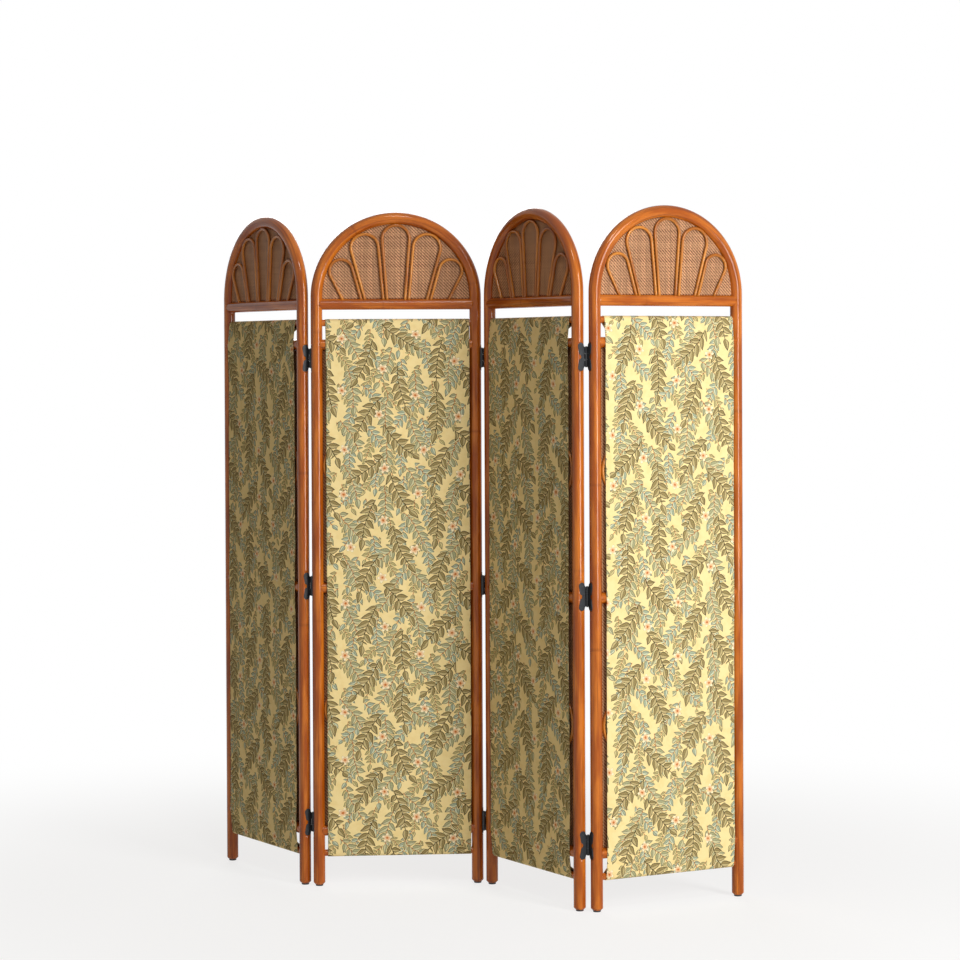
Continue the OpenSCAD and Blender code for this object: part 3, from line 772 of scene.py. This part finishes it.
def cane(i):
    """The woven cane of the arch and of the two fields."""
    r = ARCH_R - POLE_R - CANE_GAP
    a = np.linspace(math.pi, 0, ARCH_COLUMNS)
    xs = ARCH_R + r * np.cos(a)
    lows = np.full(ARCH_COLUMNS, RAIL_Z + RAIL_R + CANE_GAP)
    points, faces, weave = plate(xs, lows, SPRING_Z + r * np.sin(a), ARCH_ROWS, i)
    add_piece(f"woven_arch_{i}", points, faces, i, "woven_cane", f"arch_cane_{i}", [("weave", weave)])
    xs = np.linspace(POLE_R + CANE_GAP, PANEL_W - POLE_R - CANE_GAP, FIELD_COLUMNS)
    fields = []
    for k in (0, 1):
        lows = np.full(FIELD_COLUMNS, THICK_ZS[k + 1] + THICK_R + CANE_GAP)
        highs = np.full(FIELD_COLUMNS, THICK_ZS[k] - THICK_R - CANE_GAP)
        fields.append(plate(xs, lows, highs, FIELD_ROWS, i + 5 * k))
    points, faces, weave = stack(fields)
    add_piece(f"woven_fields_{i}", points, faces, i, "woven_cane", f"panel_cane_{i}", [("weave", weave)])


def cloth_path():
    """Section of the cloth as points (y, z): from the end of its upper tail over the thin rung, down the
    front and round the lower rung to the end of its lower tail. Also gives the points at the upper rung."""
    def wrap(z, up):
        # from the tail's end behind the cloth, up the back of the rung and over it to the front
        tail = np.array([TAIL_Y, -up * TAIL])
        reach = np.linalg.norm(tail)
        touch = math.atan2(up * tail[1], tail[0]) + math.acos(WRAP_R / reach)
        a = np.linspace(touch if touch < math.pi else touch - 2 * math.pi, math.pi, WRAP_POINTS)
        circle = np.stack([WRAP_R * np.cos(a), z + up * WRAP_R * np.sin(a)], 1)
        return chain(line(tail + (0, z), circle[0], 0.003), circle)
    top = wrap(UPPER_THIN_Z, 1)
    foot = wrap(LOWER_THIN_Z, -1)[::-1]
    front = chain(line(top[-1], (CLOTH_Y, UPPER_THICK_Z), 0.005),
                  line((CLOTH_Y, UPPER_THICK_Z), (CLOTH_Y, LOWER_THICK_Z), 0.006),
                  line((CLOTH_Y, LOWER_THICK_Z), foot[0], 0.005))
    return chain(top, front, foot), len(top)


def smooth_noise(xs, zs, cell_x, cell_z, seed):
    """A smooth random field from -1 to 1 over a grid, with cells of the given size."""
    local = np.random.default_rng(seed)
    nx = int(np.ptp(xs) / cell_x) + 4
    nz = int(np.ptp(zs) / cell_z) + 4
    grid = local.uniform(-1, 1, (nx, nz))
    fx, fz = (xs - xs.min()) / cell_x, (zs - zs.min()) / cell_z
    ix, iz = np.floor(fx).astype(int), np.floor(fz).astype(int)
    tx, tz = fx - ix, fz - iz
    tx, tz = tx * tx * (3 - 2 * tx), tz * tz * (3 - 2 * tz)
    a = grid[ix][:, iz] * (1 - tx)[:, None] + grid[ix + 1][:, iz] * tx[:, None]
    b = grid[ix][:, iz + 1] * (1 - tx)[:, None] + grid[ix + 1][:, iz + 1] * tx[:, None]
    return a * (1 - tz)[None] + b * tz[None]


# Depths of the cloth's creases, folds and puckers, the most that it moves, and the waves of its side edges
CREASE = 0.0011
FOLD = 0.0012
PUCKER = 0.00025
MOST_OUTWARD, MOST_INWARD = 0.0002, 0.0034
EDGE_WAVE = 0.0016
CLOTH_THICKNESS = 0.0006
PRINT_STEP = (0.213, 0.087)     # how far the print moves on from one cloth to the next


def cloth(i):
    """The printed cloth: wrapped round both thin rungs and drawn over the thick ones, with soft upright
    creases between them."""
    path, count = cloth_path()
    y, z = path[:, 0], path[:, 1]
    s = np.r_[0, np.cumsum(np.linalg.norm(np.diff(path, axis=0), axis=1))]
    length = s[-1]
    t = np.linspace(0, 1, CLOTH_COLUMNS)
    widths = t * CLOTH_W
    down = z.max() - z
    # how free the cloth is to move inwards: not at the rungs, most between them
    rests = np.array([LOWER_THIN_Z - 0.02, LOWER_THICK_Z, MIDDLE_Z, UPPER_THICK_Z, UPPER_THIN_Z + 0.02])
    away = np.min(np.abs(z[:, None] - rests[None]), axis=1)
    on_front = (s > s[count]) & (s < length - s[count])
    free = np.clip((away - 0.012) / 0.10, 0, 1)
    free = free * free * (3 - 2 * free) * on_front
    creases = smooth_noise(widths, down, 0.028, 0.42, 100 + i)
    folds = smooth_noise(widths, down, 0.075, 0.9, 200 + i)
    puckers = smooth_noise(widths, down, 0.012, 0.05, 300 + i)
    near_wrap = sum(np.exp(-((way - s[count] - 0.02) / 0.03) ** 2) for way in (s, length - s))
    inward = (CREASE * (creases + 0.55) + FOLD * (folds + 0.5)) * free[None]
    inward += PUCKER * puckers * near_wrap[None] * on_front[None]
    inward = np.clip(inward, -MOST_OUTWARD, MOST_INWARD)

    def edge(seed):
        wave = smooth_noise(np.array([0.0, 0.1]), down, 0.1, 0.22, seed)[0]
        return (EDGE_WAVE * (0.5 + 0.5 * wave))[None]

    left = ARCH_R - CLOTH_W / 2 + CLOTH_SLIDE * (1 if i % 2 == 0 else -1)
    x = left + widths[:, None] + edge(400 + i) * (1 - t)[:, None] ** 6 - edge(500 + i) * t[:, None] ** 6
    rows = len(path)
    points = np.stack([x, y[None] + inward, np.repeat(z[None], CLOTH_COLUMNS, 0)], -1).reshape(-1, 3)
    p = grid_corners(CLOTH_COLUMNS, rows)
    faces = np.stack([p, p + 1, p + rows + 1, p + rows], 1).tolist()
    flat = np.stack([np.repeat(widths[:, None], rows, 1) + i * PRINT_STEP[0],
                     np.repeat(s[None], CLOTH_COLUMNS, 0) + i * PRINT_STEP[1],
                     np.zeros((CLOTH_COLUMNS, rows))], -1).reshape(-1, 3)
    piece = add_piece(f"printed_cloth_{i}", points, faces, i, "printed_cloth", f"cloth_{i}",
                      [("cloth", flat)])
    thick = piece.modifiers.new("thickness", "SOLIDIFY")
    thick.thickness = CLOTH_THICKNESS
    thick.offset = 0.0


for panel in PANELS:
    for make in (pole_frame, rungs, fan, hoops, beads, cane, cloth):
        make(panel)

# The model's own nodes that stay, by the start of their names
KEPT_NODES = {
    "glides": "glide_plastic",
    "hinge_screws": "screw_steel",
    "left_leaves": "hinge_black",
    "right_leaves": "hinge_black",
    "hinge_pins": "pin_steel",
}
for name, node in frame["nodes"].items():
    for start, slot in KEPT_NODES.items():
        if name.startswith(start):
            node.data.materials.clear()
            node.data.materials.append(MATERIALS[slot])


# Camera, as fitted to the feet, rails and arches in the photograph
FOCAL_PX = 2707.5
FRAME_PX = 960.0
PP_Y = 400.0
SENSOR_MM = 36.0
CAMERA_TURN = math.radians(-21.578)
CAMERA_PITCH = math.radians(-0.802)
CAMERA_ROLL = math.radians(-0.262)
SCREEN_OFF = (-0.0757, 7.1037)
CAMERA_H = 1.3833

# Soft lamps: degrees to the right of the camera's view, height, distance, width, tallness and power
LAMPS = {
    "key": (41, 1.95, 5.0, 1.4, 3.3, 206),
    "top": (8, 5.0, 3.4, 0.9, 0.9, 42),
    "back": (190, 3.2, 5.0, 2.5, 2.5, 80),
}
LAMP_AIM = Vector((0, 0, 0.9))
AMBIENT = 0.16
AMBIENT_COLOUR = (1.0, 0.79, 0.54)
WHITE = (1.0, 1.0, 1.0)
FLOOR_COLOUR = (0.93, 0.93, 0.93)
FLOOR_HALF = 14.0
FLOOR_CELLS = 28
FLOOR_WHITE = 0.76              # share of plain white in the floor under the screen
FLOOR_FADE = (0.8, 2.8)         # from where to where the floor goes over into white


def set_camera():
    """A camera at the photograph's place. Returns its turn about the upright axis."""
    turn = Matrix.Rotation(-CAMERA_TURN, 3, "Z")
    right = Vector((1, 0, 0))
    ahead = Vector((0, math.cos(CAMERA_PITCH), math.sin(CAMERA_PITCH)))
    up = right.cross(ahead)
    c, s = math.cos(CAMERA_ROLL), math.sin(CAMERA_ROLL)
    right, up = c * right + s * up, c * up - s * right
    place = Matrix((turn @ right, turn @ up, -(turn @ ahead))).transposed().to_4x4()
    place.translation = turn @ Vector((-SCREEN_OFF[0], -SCREEN_OFF[1], 0)) + Vector((0, 0, CAMERA_H))
    data = bpy.data.cameras.new("camera")
    data.sensor_width = SENSOR_MM
    data.lens = FOCAL_PX / FRAME_PX * SENSOR_MM
    data.shift_y = (PP_Y - FRAME_PX / 2) / FRAME_PX
    camera = bpy.data.objects.new("camera", data)
    camera.matrix_world = place
    bpy.context.scene.collection.objects.link(camera)
    bpy.context.scene.camera = camera
    return turn


def soft_light(name, turn, azimuth, height, distance, width, tall, power):
    """A soft lamp that points at the middle of the screen."""
    a = math.radians(azimuth)
    place = turn @ Vector((math.sin(a) * distance, -math.cos(a) * distance, 0)) + Vector((0, 0, height))
    data = bpy.data.lights.new(name, "AREA")
    data.shape = "RECTANGLE"
    data.size = width
    data.size_y = tall
    data.energy = power
    lamp = bpy.data.objects.new(name, data)
    lamp.location = place
    lamp.rotation_euler = (LAMP_AIM - place).to_track_quat("-Z", "Y").to_euler()
    bpy.context.scene.collection.objects.link(lamp)


def seen_directly(tree):
    """1 for what the camera sees itself or in a reflection or through glass."""
    path = tree.nodes.new("ShaderNodeLightPath")
    rays = [Value(tree, path.outputs[k]) for k in ("Is Camera Ray", "Is Glossy Ray", "Is Transmission Ray")]
    return rays[0].high(rays[1]).high(rays[2])


def surroundings():
    """White around the object for what is seen, and a plain even light from all sides."""
    world = bpy.data.worlds.new("studio")
    world.use_nodes = True
    tree = world.node_tree
    background = tree.nodes["Background"]
    seen = seen_directly(tree)
    tree.links.new(mix(tree, seen, AMBIENT_COLOUR, WHITE).out, background.inputs["Color"])
    tree.links.new((seen * (1 - AMBIENT) + AMBIENT).out, background.inputs["Strength"])
    bpy.context.scene.world = world


def floor():
    """A plain pale floor that goes over into white away from the object and keeps its shadow."""
    mesh = bpy.data.meshes.new("floor")
    xs = np.linspace(-FLOOR_HALF, FLOOR_HALF, FLOOR_CELLS + 1)
    row = FLOOR_CELLS + 1
    faces = [(p, p + row, p + row + 1, p + 1) for p in grid_corners(row, row).tolist()]
    mesh.from_pydata([(x, y, 0.0) for x in xs for y in xs], [], faces)
    piece = bpy.data.objects.new("floor", mesh)
    mat, tree, shader = new_material("floor", FLOOR_COLOUR, Roughness=0.9, Specular_IOR_Level=0.0)
    glow = tree.nodes.new("ShaderNodeEmission")
    both = tree.nodes.new("ShaderNodeMixShader")
    place = split(tree, object_place(tree))
    away = (place[0] * place[0] + place[1] * place[1]).sqrt()
    share = seen_directly(tree) * away.ramp(*FLOOR_FADE, FLOOR_WHITE, 1.0)
    tree.links.new(share.out, both.inputs[0])
    tree.links.new(shader.outputs[0], both.inputs[1])
    tree.links.new(glow.outputs[0], both.inputs[2])
    tree.links.new(both.outputs[0], tree.nodes["Material Output"].inputs["Surface"])
    mesh.materials.append(mat)
    bpy.context.scene.collection.objects.link(piece)


view_turn = set_camera()
surroundings()
floor()
for name, lamp in LAMPS.items():
    soft_light(name, view_turn, *lamp)
bpy.context.scene.view_settings.view_transform = "Standard"

bpy.context.view_layer.update()
